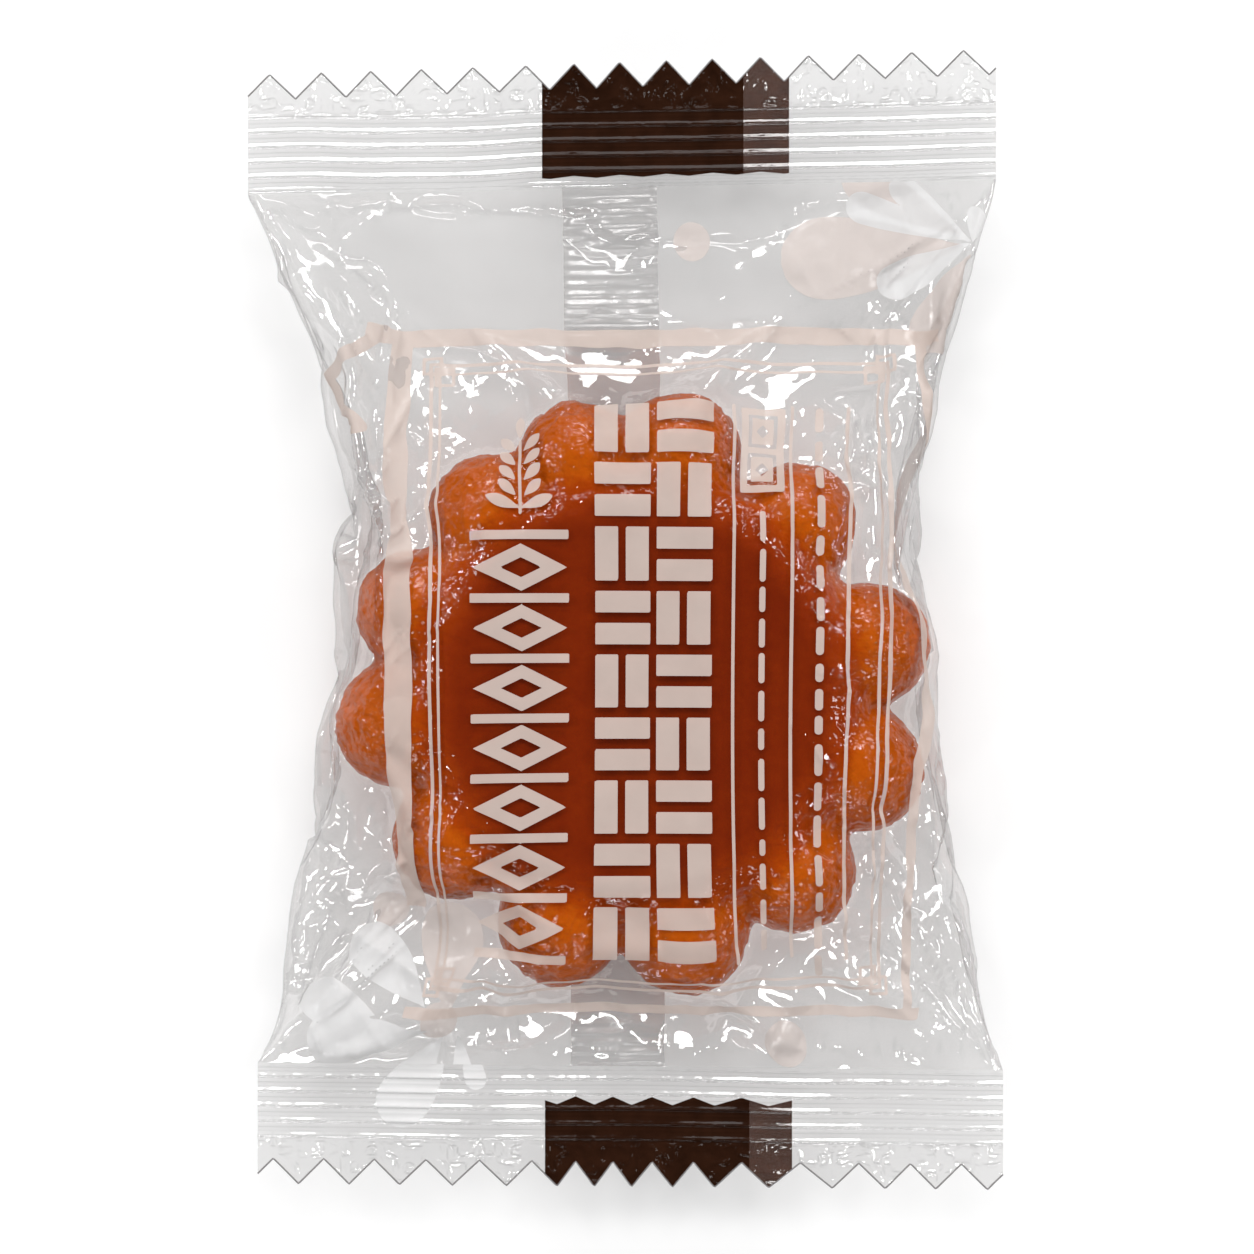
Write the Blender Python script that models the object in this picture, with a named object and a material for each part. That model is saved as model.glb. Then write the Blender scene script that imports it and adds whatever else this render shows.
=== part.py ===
"""A flower-shaped honey cookie sealed in a clear film pack, lying on its back.

Metres, +Z up. The origin is under the middle of the pack's bounding box. +Y runs from the bottom seal to
the top seal, and the printed front faces up.
"""

import math

import bmesh
import bpy
import numpy as np

MM = 0.001

# Driving dimensions, in millimetres, and angles in radians.
# A seal runs outwards from its first rib. Its turn is how far it lies off square to the pack's length.
SEAL_Z = 5.4
TOP_SEAL_Y = 35.9
TOP_SEAL_SIDES = (-31.5, 30.8)
TOP_SEAL_TURN = math.radians(1.2)
TOP_CUT_TURN = math.radians(2.0)
TOP_SEAL_LENGTH = 10.5
BOTTOM_SEAL_Y = -37.2
BOTTOM_SEAL_SIDES = (-30.7, 31.5)
BOTTOM_SEAL_TURN = math.radians(-0.6)
BOTTOM_CUT_TURN = math.radians(-0.5)
BOTTOM_SEAL_LENGTH = 10.0

# The body's left and right outline between the seals, as (y, x) stations
LEFT_SIDE = ((-37, -30.6), (-27, -28.2), (-16, -26.2), (-7, -24.9), (9.5, -23.5), (20, -26.0), (36, -31.5))
RIGHT_SIDE = ((-37, 31.4), (-28, 29.2), (-15, 27.0), (-3, 26.0), (7, 25.1), (24, 27.3), (36, 30.9))

COOKIE_X = 0.7
COOKIE_Y = -6.2
COOKIE_THICKNESS = 13.0
COOKIE_MIDDLE = 6.2
PLATEAU_TOP = 12.0
PLATEAU_RADIUS = 19.0
PLATEAU_ROUNDNESS = 5
DISH_DEPTH = 0.8
LOBES = 12
LOBE_RING = 19.1
LOBE_RADIUS = 6.0
LOBE_PHASE = math.radians(15)
BASE_RADIUS = 22.5
BASE_ROUNDNESS = 4.5

EDGE_HALF = 0.2
VALLEY_HALF = 0.24
RIDGE_HALF = 0.5
RIB_PITCH = 1.24
RIB_COUNT = 5
RIB_START = 0.5
TEETH = 15
TOOTH_DEPTH = 2.1
SEAL_LEAD = 1.2

# The fin is the pack's long seal, folded flat against its back and seen there between base and end seals
FIN_SIDES = (-5.0, 2.9)
FIN_OUT = 0.35
FIN_RIB_PITCH = 0.82
FIN_RIB_DEPTH = 0.2
FIN_CLEAR_Z = 0.75
FIN_COLUMNS = 4

COLUMNS = 46
ROWS = 50
STRETCH_ROUNDS = 900

FOLD_COUNT = 9
FOLD_HEIGHT = 0.6


def clear_scene():
    for obj in list(bpy.data.objects):
        bpy.data.objects.remove(obj)


def material(name, colour, roughness):
    made = bpy.data.materials.new(name)
    made.use_nodes = True
    shader = made.node_tree.nodes["Principled BSDF"]
    shader.inputs["Base Color"].default_value = (*colour, 1)
    shader.inputs["Roughness"].default_value = roughness
    shader.inputs["Metallic"].default_value = 0
    return made


def slanted(x, middle_y, turn):
    """The y at x of a line across the pack that turns about its middle."""
    return middle_y + math.tan(turn) * x


def side(y, stations):
    """The outline's x at y, rounded off between its stations."""
    levels, reach = zip(*stations)
    nearby = np.linspace(-2.5, 2.5, 11)
    return np.mean(np.interp(y + nearby, levels, reach))


def around_cookie(x, y):
    """Distance and angle of (x, y) from the cookie's middle."""
    dx, dy = x - COOKIE_X, y - COOKIE_Y
    return np.hypot(dx, dy), np.arctan2(dy, dx)


def from_lobe(x, y):
    """Distance of (x, y) from the middle of the nearest lobe."""
    distance, angle = around_cookie(x, y)
    step = 2 * math.pi / LOBES
    off = (angle - LOBE_PHASE + step / 2) % step - step / 2
    return np.hypot(distance * np.cos(off) - LOBE_RING, distance * np.sin(off))


def rounded(share, roundness):
    """A dome's height from 1 at share 0 to 0 at share 1, flatter and squarer as roundness grows."""
    return np.clip(1 - share**roundness, 0, 1) ** (1 / roundness)


def cookie_top(x, y):
    """A ring of ball-like lobes round a slightly dished middle, and the mid-height outside them."""
    distance, _ = around_cookie(x, y)
    lobes = (COOKIE_THICKNESS - COOKIE_MIDDLE) * rounded(from_lobe(x, y) / LOBE_RADIUS, 2.3)
    dish = DISH_DEPTH * np.exp(-((distance / 9) ** 2))
    plateau = (PLATEAU_TOP - COOKIE_MIDDLE) * rounded(distance / PLATEAU_RADIUS, PLATEAU_ROUNDNESS) - dish
    return COOKIE_MIDDLE + np.maximum(np.maximum(lobes, plateau), 0)


def cookie_base(x, y):
    """The underside: flat on the table, with a rounded lower rim."""
    distance, _ = around_cookie(x, y)
    disc = rounded(distance / BASE_RADIUS, BASE_ROUNDNESS)
    lobes = rounded(from_lobe(x, y) / LOBE_RADIUS, BASE_ROUNDNESS / 2) * 0.9
    return COOKIE_MIDDLE * (1 - np.maximum(disc, lobes))


def on_cookie(x, y):
    distance, _ = around_cookie(x, y)
    return (distance < PLATEAU_RADIUS) | (from_lobe(x, y) < LOBE_RADIUS)


def fold_relief(x, y):
    """Shallow folds that fan out from the cookie's rim and fade towards it and towards the seals."""
    distance, angle = around_cookie(x, y)
    to_seal = np.clip(np.minimum(TOP_SEAL_Y - y, y - BOTTOM_SEAL_Y) / 8, 0, 1)
    fade = np.clip((distance - LOBE_RING - LOBE_RADIUS) / 5, 0, 1) * to_seal
    wander = 0.6 * np.sin(2.3 * angle + 0.7) + 0.4 * np.sin(0.35 * (y - COOKIE_Y))
    return FOLD_HEIGHT * fade * np.abs(np.sin(FOLD_COUNT * angle + wander))


def stretch(heights, low, high):
    """Draws a sheet tight between its fixed edges, held up by low and held down by high."""
    for _ in range(STRETCH_ROUNDS):
        inner = heights[:-2, 1:-1] + heights[2:, 1:-1] + heights[1:-1, :-2] + heights[1:-1, 2:]
        heights[1:-1, 1:-1] = inner / 4
        heights[1:-1, 1:-1] = np.clip(heights, low, high)[1:-1, 1:-1]
    return heights


def body_points():
    """The x and y of the body's rows and columns, as seen from above."""
    x = np.empty((ROWS + 1, COLUMNS + 1))
    y = np.empty((ROWS + 1, COLUMNS + 1))
    for row, share in enumerate(np.linspace(0, 1, ROWS + 1)):
        level = BOTTOM_SEAL_Y + (TOP_SEAL_Y - BOTTOM_SEAL_Y) * share
        x[row] = np.linspace(side(level, LEFT_SIDE), side(level, RIGHT_SIDE), COLUMNS + 1)
        low = slanted(x[row], BOTTOM_SEAL_Y, BOTTOM_SEAL_TURN)
        high = slanted(x[row], TOP_SEAL_Y, TOP_SEAL_TURN)
        y[row] = low + (high - low) * share
    return x, y


def body_sheets(x, y):
    """The heights of the front and back film: stretched over the cookie, and flat where it rests."""
    edge = np.full(x.shape, SEAL_Z)
    top, base = cookie_top(x, y), cookie_base(x, y)
    top = np.where(on_cookie(x, y), top, SEAL_Z)
    front = stretch(np.maximum(edge, top), np.maximum(top, SEAL_Z), np.inf)
    lid = np.where(on_cookie(x, y), base, SEAL_Z)
    back = stretch(np.minimum(edge, lid), 0, lid)
    folds = fold_relief(x, y)
    front += folds + EDGE_HALF
    back = np.maximum(back - folds / 2 - EDGE_HALF, 0)
    return front, back


def add_grid(bm, x, y, z):
    """A grid whose points are moved to x, y and z, which are arrays of its rows and columns."""
    rows, columns = x.shape[0] - 1, x.shape[1] - 1
    made = bmesh.ops.create_grid(bm, x_segments=columns, y_segments=rows, size=1)
    for vertex in made["verts"]:
        column = round((vertex.co.x + 1) / 2 * columns)
        row = round((vertex.co.y + 1) / 2 * rows)
        vertex.co = (x[row, column] * MM, y[row, column] * MM, z[row, column] * MM)
    edges = {edge for vertex in made["verts"] for edge in vertex.link_edges}
    return [edge for edge in edges if edge.is_boundary]


def two_sided(name, x, y, upper, lower, collection):
    """A closed body between an upper and a lower sheet over the same points."""
    bm = bmesh.new()
    loops = add_grid(bm, x, y, upper) + add_grid(bm, x, y, lower)
    bmesh.ops.bridge_loops(bm, edges=loops)
    bmesh.ops.recalc_face_normals(bm, faces=bm.faces)
    mesh = bpy.data.meshes.new(name)
    bm.to_mesh(mesh)
    bm.free()
    made = bpy.data.objects.new(name, mesh)
    collection.objects.link(made)
    return made


def make_seal(name, middle_y, sides, turn, cut_turn, length, outward, collection):
    """A crimped end seal: ribs across the pack, a plain strip, and a zigzag cut edge."""
    section = [(-SEAL_LEAD, VALLEY_HALF - 0.06)]
    for rib in range(RIB_COUNT):
        section.append((RIB_START + rib * RIB_PITCH, VALLEY_HALF))
        section.append((RIB_START + (rib + 0.5) * RIB_PITCH, RIDGE_HALF))
    section.append((RIB_START + RIB_COUNT * RIB_PITCH, VALLEY_HALF))
    columns = 2 * TEETH
    across = np.linspace(*sides, columns + 1)
    x = np.tile(across, (len(section) + 1, 1))
    y = np.empty(x.shape)
    half = np.empty(x.shape)
    for row, (distance, height) in enumerate(section):
        y[row] = slanted(across, middle_y + outward * distance, turn)
        half[row] = height
    valleys = np.where(np.arange(columns + 1) % 2 == 0, TOOTH_DEPTH, 0)
    y[-1] = slanted(across, middle_y + outward * length, cut_turn) - outward * valleys
    half[-1] = VALLEY_HALF
    two_sided(name, x, y, SEAL_Z + half, SEAL_Z - half, collection)


def back_height(x, y, body_x, body_y, back):
    """The body's lowest surface at (x, y), between the nearest rows and columns."""
    column = np.array([np.interp(x, body_x[row], back[row]) for row in range(ROWS + 1)])
    levels = np.array([np.interp(x, body_x[row], body_y[row]) for row in range(ROWS + 1)])
    return np.interp(y, levels, column)


def make_fin(name, start, end, surface, collection):
    """A length of the back fin, ribbed across, that follows the body's back from start to end."""
    count = 2 * round(abs(end - start) / FIN_RIB_PITCH)
    along = np.linspace(start, end, count + 1)
    across = np.linspace(*FIN_SIDES, FIN_COLUMNS + 1)
    x, y = np.meshgrid(across, along)
    floor = np.array([[back_height(px, py, *surface) for px in across] for py in along])
    ribs = np.where(np.arange(count + 1) % 2 == 0, 0, FIN_RIB_DEPTH)[:, None]
    return two_sided(name, x, y, floor + 0.2, floor - FIN_OUT + ribs, collection)


def fin_limits(surface):
    """Where the back rises clear of the table, at the fin's middle, towards each seal."""
    middle = sum(FIN_SIDES) / 2
    upper = COOKIE_Y
    while back_height(middle, upper, *surface) < FIN_CLEAR_Z:
        upper += 0.25
    lower = COOKIE_Y
    while back_height(middle, lower, *surface) < FIN_CLEAR_Z:
        lower -= 0.25
    return lower, upper


def join(name, pieces):
    """One solid of the overlapping pieces, whose objects are then removed."""
    first = pieces.objects["body"]
    pieces.objects.unlink(first)
    bpy.context.scene.collection.objects.link(first)
    union = first.modifiers.new("join", "BOOLEAN")
    union.operation = "UNION"
    union.solver = "EXACT"
    union.operand_type = "COLLECTION"
    union.collection = pieces
    graph = bpy.context.evaluated_depsgraph_get()
    mesh = bpy.data.meshes.new_from_object(first.evaluated_get(graph))
    mesh.name = name
    for obj in [first, *pieces.objects]:
        bpy.data.objects.remove(obj)
    bpy.data.collections.remove(pieces)
    return bpy.data.objects.new(name, mesh)


def centre_on_origin(mesh):
    """Moves the mesh so that the origin is under the middle of its bounding box."""
    points = np.array([vertex.co for vertex in mesh.vertices])
    low, high = points.min(axis=0), points.max(axis=0)
    middle = (low + high) / 2
    for vertex in mesh.vertices:
        vertex.co = (vertex.co.x - middle[0], vertex.co.y - middle[1], vertex.co.z - low[2])


def main():
    clear_scene()
    pieces = bpy.data.collections.new("joined_pieces")
    bpy.context.scene.collection.children.link(pieces)
    x, y = body_points()
    front, back = body_sheets(x, y)
    two_sided("body", x, y, front, back, pieces)
    make_seal(
        "top_seal", TOP_SEAL_Y, TOP_SEAL_SIDES, TOP_SEAL_TURN, TOP_CUT_TURN, TOP_SEAL_LENGTH, 1, pieces
    )
    make_seal(
        "bottom_seal",
        BOTTOM_SEAL_Y,
        BOTTOM_SEAL_SIDES,
        BOTTOM_SEAL_TURN,
        BOTTOM_CUT_TURN,
        BOTTOM_SEAL_LENGTH,
        -1,
        pieces,
    )
    surface = (x, y, back)
    lower, upper = fin_limits(surface)
    make_fin("lower_fin", BOTTOM_SEAL_Y + 0.5, lower, surface, pieces)
    make_fin("upper_fin", upper, TOP_SEAL_Y - 0.5, surface, pieces)
    pack = join("sealed_pack", pieces)
    centre_on_origin(pack.data)
    home = bpy.data.collections.new("honey_cookie_pack")
    bpy.context.scene.collection.children.link(home)
    home.objects.link(pack)
    pack.data.materials.clear()
    pack.data.materials.append(material("wrapped_cookie", (0.42, 0.14, 0.035), 0.25))


main()
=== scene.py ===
"""A flower-shaped honey cookie in a clear sealed film pack, seen from above on a pale floor.

The film is simulated: a flat tube of unstretchable film, held at both end seals, that the cookie grows
inside. Sizes are in millimetres until a mesh is made.
"""

import math

import bpy
import numpy as np
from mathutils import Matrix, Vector


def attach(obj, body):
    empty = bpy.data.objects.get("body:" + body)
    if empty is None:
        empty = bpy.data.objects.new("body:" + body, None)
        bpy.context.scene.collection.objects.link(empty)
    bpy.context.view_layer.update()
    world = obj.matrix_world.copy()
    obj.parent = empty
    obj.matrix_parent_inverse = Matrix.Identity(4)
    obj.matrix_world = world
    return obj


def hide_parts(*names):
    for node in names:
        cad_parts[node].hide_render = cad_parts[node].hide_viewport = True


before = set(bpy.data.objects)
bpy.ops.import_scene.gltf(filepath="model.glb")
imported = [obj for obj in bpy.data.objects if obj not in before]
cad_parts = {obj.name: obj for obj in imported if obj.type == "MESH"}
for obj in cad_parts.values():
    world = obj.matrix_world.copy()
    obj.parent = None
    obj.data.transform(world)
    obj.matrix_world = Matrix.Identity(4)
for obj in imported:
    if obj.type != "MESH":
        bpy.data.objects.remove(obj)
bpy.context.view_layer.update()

MM = 0.001

# The pack, as part.py has it
SEAL_Z = 5.4
TOP_Y, BOTTOM_Y = 35.9, -37.2
TOP_SIDES, BOTTOM_SIDES = (-31.4, 30.8), (-30.6, 31.4)
TOP_TURN, BOTTOM_TURN = math.radians(1.2), math.radians(-0.6)
TOP_CUT_TURN, BOTTOM_CUT_TURN = math.radians(2.0), math.radians(-0.5)
FILM_WIDTH = 62.3
FILM_LENGTH = 76.2
TOP_LENGTH, BOTTOM_LENGTH = 10.4, 10.0
TOOTH_DEPTH = 2.1
# Each tooth's tip, across the pack: the bottom teeth crowd where the film was gathered
TOP_TIPS = (-29.6, -25.3, -21.2, -17.0, -12.7, -8.3, -4.3, -0.5, 3.4, 7.2, 11.2, 15.2, 19.4, 23.8, 28.1)
BOTTOM_TIPS = (-27.2, -23.0, -18.8, -14.4, -9.9, -5.7, -2.6, 0.5, 3.9, 7.4, 11.9, 17.2, 21.6, 25.8, 30.1)
RIB_PITCH = 1.24
FIN_SIDES = (-5.0, 2.9)

# The outline between the seals, as (y, x)
LEFT_OUTLINE = (
    (-37.3, -30.6), (-34.8, -29.7), (-31.7, -29.3), (-27.5, -28.2), (-22.1, -27.6), (-15.9, -26.2),
    (-11.0, -25.7), (-7.2, -24.9), (-0.7, -24.7), (4.9, -24.3), (8.0, -23.9), (9.7, -23.4), (14.6, -24.6),
    (19.0, -25.7), (22.5, -26.7), (25.0, -27.1), (26.7, -28.1), (31.9, -29.8), (35.0, -31.4),
)
RIGHT_OUTLINE = (
    (-37.5, 31.4), (-35.4, 30.4), (-30.1, 29.5), (-19.8, 27.7), (-15.4, 27.0), (-11.0, 26.4), (-3.5, 26.0),
    (4.9, 25.4), (6.9, 25.1), (14.9, 26.2), (22.9, 26.9), (25.1, 27.6), (31.8, 29.7), (36.4, 30.9),
)

# The cookie: lobes as (angle in degrees, reach of the tip, radius)
COOKIE_X, COOKIE_Y, COOKIE_Z = 0.8, -6.25, 6.3
LOBES = (
    (79.5, 25.5, 5.2), (46.5, 24.6, 5.1), (12, 25.0, 5.1), (-18.4, 25.1, 5.2), (-48, 25.0, 5.1),
    (-78, 25.5, 5.3), (-108, 25.3, 5.2), (-141.5, 24.4, 5.2), (-173, 25.1, 5.3), (159, 24.6, 5.0),
    (129, 24.3, 5.2), (104, 25.0, 5.0),
)
LOBE_HALF_HEIGHT = 5.5
DISC_RADIUS, DISC_HALF, DISC_ROUND = 19.8, 6.1, 4.6

RNG = np.random.default_rng(20)


# Noise

TABLE_SIZE, SOLID_SIZE = 256, 64
TABLE = RNG.random((TABLE_SIZE, TABLE_SIZE))


def smooth_noise(x, y, cell, seed=0):
    """Soft bumps about cell across, from -1 to 1."""
    x, y = x / cell + seed * 17.3, y / cell + seed * 31.7
    x0, y0 = np.floor(x).astype(int), np.floor(y).astype(int)
    fx, fy = x - x0, y - y0
    fx, fy = fx * fx * (3 - 2 * fx), fy * fy * (3 - 2 * fy)

    def corner(du, dv):
        return TABLE[(y0 + dv) % TABLE_SIZE, (x0 + du) % TABLE_SIZE]

    near = corner(0, 0) * (1 - fx) + corner(1, 0) * fx
    far = corner(0, 1) * (1 - fx) + corner(1, 1) * fx
    return 2 * (near * (1 - fy) + far * fy) - 1


def facet_noise(x, y, cell, seed=0):
    """Flat facets about cell across that meet in creases, from -1 to 1."""
    wx = x + 0.5 * cell * smooth_noise(x, y, 1.7 * cell, seed + 5)
    wy = y + 0.5 * cell * smooth_noise(x, y, 1.7 * cell, seed + 9)
    turn = 0.7 * seed + 0.4
    u = (wx * math.cos(turn) + wy * math.sin(turn)) / cell
    v = (wy * math.cos(turn) - wx * math.sin(turn)) / cell * 1.1547
    u = u - 0.5 * v
    u0, v0 = np.floor(u).astype(int), np.floor(v).astype(int)
    fu, fv = u - u0, v - v0
    shift = seed * 41

    def corner(du, dv):
        return TABLE[(v0 + dv + shift) % TABLE_SIZE, (u0 + du + 2 * shift) % TABLE_SIZE]

    lower = corner(0, 0) * (1 - fu - fv) + corner(1, 0) * fu + corner(0, 1) * fv
    upper = corner(1, 1) * (fu + fv - 1) + corner(0, 1) * (1 - fu) + corner(1, 0) * (1 - fv)
    return 2 * np.where(fu + fv < 1, lower, upper) - 1


SOLID_TABLE = RNG.random((SOLID_SIZE, SOLID_SIZE, SOLID_SIZE))


def solid_noise(p, cell, seed=0):
    """Soft bumps about cell across in space, from -1 to 1."""
    q = p / cell + seed * 13.7
    i = np.floor(q).astype(int)
    f = q - i
    f = f * f * (3 - 2 * f)
    total = 0
    for corner in np.ndindex(2, 2, 2):
        weight = np.prod(np.where(corner, f, 1 - f), axis=-1)
        place = (i + corner) % SOLID_SIZE
        total = total + weight * SOLID_TABLE[place[..., 0], place[..., 1], place[..., 2]]
    return 2 * total - 1


# The film

# The least height over the floor, and the film's gaps to the cookie and between its front and back
FLOOR_GAP = 0.06
COOKIE_GAP, LAYER_GAP = 0.12, 0.1
# How far out the walls stand before the outline closes in
OPEN_REACH = 31.4
# The same gaps once the fine relief is on
FINAL_COOKIE_GAP, FINAL_LAYER_GAP = 0.15, 0.16


def calm_patch(u, v, middle, reach):
    """1 in the middle of a patch where the film is calm, falling to 0 past its reach."""
    return np.exp(-(((u - middle[0]) / reach[0]) ** 2 + ((v - middle[1]) / reach[1]) ** 2))


def seal_height(x, top):
    """How high the film lies at a seal: nearly level, with a slow wave across the pack."""
    if top:
        return SEAL_Z + 0.25 * np.sin(0.13 * x + 0.5) + 0.5 * np.clip((x - 18) / 13, 0, 1) ** 2
    return SEAL_Z + 0.25 * np.sin(0.11 * x + 2.0) + 0.2 * np.clip((-x - 20) / 11, 0, 1)


def push_from_cookie(points, grown, clear):
    """Moves points that are within clear of the cookie out of it. Returns them, and which moved."""
    middle = SEAL_Z + (COOKIE_Z - SEAL_Z) * grown
    q = (points - (COOKIE_X, COOKIE_Y, middle)) / (1, 1, grown)
    radial = np.maximum(np.hypot(q[..., 0], q[..., 1]), 1e-6)
    over = radial - (DISC_RADIUS - DISC_ROUND)
    above = np.abs(q[..., 2]) - (DISC_HALF - DISC_ROUND)
    corner = np.hypot(np.maximum(over, 0), np.maximum(above, 0))
    best = corner + np.minimum(np.maximum(over, above), 0) - DISC_ROUND
    beyond = corner > 0
    share = np.where(beyond, np.maximum(over, 0) / np.maximum(corner, 1e-6), over > above)
    rise = np.where(beyond, np.maximum(above, 0) / np.maximum(corner, 1e-6), over <= above)
    way = np.stack([share * q[..., 0] / radial, share * q[..., 1] / radial, rise * np.sign(q[..., 2])], -1)
    for angle, reach, radius in LOBES:
        turn = math.radians(angle)
        tall = LOBE_HALF_HEIGHT / radius
        v = (q - ((reach - radius) * math.cos(turn), (reach - radius) * math.sin(turn), 0)) / (1, 1, tall)
        length = np.maximum(np.sqrt((v * v).sum(-1)), 1e-6)
        closer = length - radius < best
        best = np.where(closer, length - radius, best)
        way = np.where(closer[..., None], v / length[..., None] * (1, 1, tall), way)
    depth = np.maximum(clear - best, 0)
    return points + way * depth[..., None] * (1, 1, grown), depth > 0


def part_layers(points, across, gap):
    """Moves the front film up and the back film down where the gap between them is too small."""
    front, back = points[:, 1:across], points[:, :across:-1]
    fix = np.maximum(gap - (front[..., 2] - back[..., 2]), 0) / 2
    front[..., 2] += fix
    back[..., 2] -= fix


def pull(a, b, rest, firmness=0.5):
    """Draws pairs of points to their rest distance."""
    gap = b - a
    length = np.sqrt((gap * gap).sum(-1))
    move = (firmness * (length - rest) / np.maximum(length, 1e-9))[..., None] * gap
    a += move
    b -= move


class Film:
    """A tube of film as a grid: rows from the bottom seal to the top, columns round front and back."""

    def __init__(self, across, along):
        self.set_size(across, along)
        self.points = self.flat()
        self.speed = np.zeros_like(self.points)

    def set_size(self, across, along):
        self.across, self.along = across, along
        self.dx, self.dy = FILM_WIDTH / across, FILM_LENGTH / along

    def flat(self):
        n = self.across
        u = np.concatenate([np.linspace(0, 1, n + 1), np.linspace(1, 0, n + 1)[1:-1]])
        s = np.linspace(0, 1, self.along + 1)[:, None]
        low_x = BOTTOM_SIDES[0] + (BOTTOM_SIDES[1] - BOTTOM_SIDES[0]) * u
        high_x = TOP_SIDES[0] + (TOP_SIDES[1] - TOP_SIDES[0]) * u
        low_y = BOTTOM_Y + math.tan(BOTTOM_TURN) * low_x
        high_y = TOP_Y + math.tan(TOP_TURN) * high_x
        half = np.where(np.arange(2 * n) <= n, 0.05, -0.05)
        half[0] = half[n] = 0
        low_z = seal_height(low_x, False) + half
        high_z = seal_height(high_x, True) + half
        points = np.empty((self.along + 1, 2 * n, 3))
        points[..., 0] = low_x + (high_x - low_x) * s
        points[..., 1] = low_y + (high_y - low_y) * s
        apart = np.where(half > 0, 0.4, -0.4) * (half != 0)
        points[..., 2] = SEAL_Z + apart
        points[0, :, 2], points[-1, :, 2] = low_z, high_z
        self.low_end, self.high_end = points[0].copy(), points[-1].copy()
        points[1:-1, :, 2] += RNG.normal(0, 0.05, points[1:-1, :, 2].shape)
        return points

    def front(self):
        """Which of the columns are on the front."""
        return np.broadcast_to(np.arange(2 * self.across) <= self.across, self.points.shape[:2])

    def places(self):
        """Each point's place on its flat sheet, across and along from the sheet's middle."""
        columns = np.arange(2 * self.across)
        u = np.minimum(columns, 2 * self.across - columns) * self.dx - FILM_WIDTH / 2
        v = np.arange(self.along + 1)[:, None] * self.dy - FILM_LENGTH / 2
        shape = self.points.shape[:2]
        return np.broadcast_to(u, shape), np.broadcast_to(v, shape)

    def pin(self):
        self.points[0], self.points[-1] = self.low_end, self.high_end

    def relax(self, bend):
        """One round of the film's own shape: no stretch, little shear and a little stiffness."""
        p = self.points
        # Each even row with the one after it, then each odd row
        rows = [(p[first:-1:2], p[first + 1 :: 2]) for first in (0, 1)]
        for lower, upper in rows:
            pull(lower, upper, self.dy)
        pull(p[:, 0::2], p[:, 1::2], self.dx)
        turned = np.roll(p, -1, axis=1)
        pull(turned[:, 0::2], turned[:, 1::2], self.dx)
        p[:] = np.roll(turned, 1, axis=1)
        slant = math.hypot(self.dx, self.dy)
        for shift in (1, -1):
            for lower, upper in rows:
                beside = np.roll(upper, -shift, axis=1)
                pull(lower, beside, slant, 0.3)
                upper[:] = np.roll(beside, shift, axis=1)
        curl = np.roll(p, 1, 1) + np.roll(p, -1, 1) - 2 * p
        curl[1:-1] += p[:-2] + p[2:] - 2 * p[1:-1]
        curl[0] = curl[-1] = 0
        change = np.roll(curl, 1, 1) + np.roll(curl, -1, 1) - 2 * curl
        change[1:-1] += curl[:-2] + curl[2:] - 2 * curl[1:-1]
        p[1:-1] -= bend * change[1:-1] / 32
        self.pin()

    def meet(self, grown, walls):
        """Keeps the film off the cookie, the floor and itself, and inside its outline."""
        p, touched = push_from_cookie(self.points, grown, COOKIE_GAP)
        if walls > 0:
            y = p[..., 1]
            left = np.interp(y, *zip(*LEFT_OUTLINE))
            right = np.interp(y, *zip(*RIGHT_OUTLINE))
            wide = OPEN_REACH * (1 - walls)
            p[..., 0] = np.clip(p[..., 0], left * walls - wide, right * walls + wide)
        low = p[..., 2] < FLOOR_GAP
        p[..., 2] = np.maximum(p[..., 2], FLOOR_GAP)
        part_layers(p, self.across, LAYER_GAP)
        self.points = p
        self.pin()
        return touched | low

    def normals(self):
        p = self.points
        along = np.empty_like(p)
        along[1:-1] = p[2:] - p[:-2]
        along[0], along[-1] = p[1] - p[0], p[-1] - p[-2]
        out = np.cross(np.roll(p, -1, 1) - np.roll(p, 1, 1), along)
        return out / np.maximum(np.linalg.norm(out, axis=-1, keepdims=True), 1e-9)

    def settle(self, steps, rounds, bend, push, start=1.0, walls=(1, 1)):
        """Lets the film come to rest while the cookie grows and the outline closes in."""
        for step in range(steps):
            share = (step + 1) / steps
            grown = start + (1 - start) * min(1, share / 0.7)
            before = self.points.copy()
            self.points = self.points + 0.9 * self.speed
            self.points += np.asarray(push)[..., None] * self.normals()
            for _ in range(rounds):
                self.relax(bend)
            touched = self.meet(grown, walls[0] + (walls[1] - walls[0]) * min(1, share / 0.8))
            self.speed = self.points - before
            self.speed[touched] *= 0.6

    def refine(self, jitter=0.0):
        """Twice the rows and columns, on a smooth curve through the old ones."""
        p = self.points
        between = (9 * (p + np.roll(p, -1, 1)) - np.roll(p, 1, 1) - np.roll(p, -2, 1)) / 16
        wide = np.empty((p.shape[0], 2 * p.shape[1], 3))
        wide[:, 0::2], wide[:, 1::2] = p, between
        tall = np.empty((2 * p.shape[0] - 1, wide.shape[1], 3))
        tall[0::2] = wide
        middle = (wide[:-1] + wide[1:]) / 2
        middle[1:-1] = (9 * (wide[1:-2] + wide[2:-1]) - wide[:-3] - wide[3:]) / 16
        tall[1::2] = middle
        self.set_size(2 * self.across, 2 * self.along)
        # A flat film of the new size gives the ends that pin holds
        self.flat()
        self.points = tall
        self.points[1:-1] += RNG.normal(0, jitter, self.points[1:-1].shape)
        self.speed = np.zeros_like(tall)
        self.pin()


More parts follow.
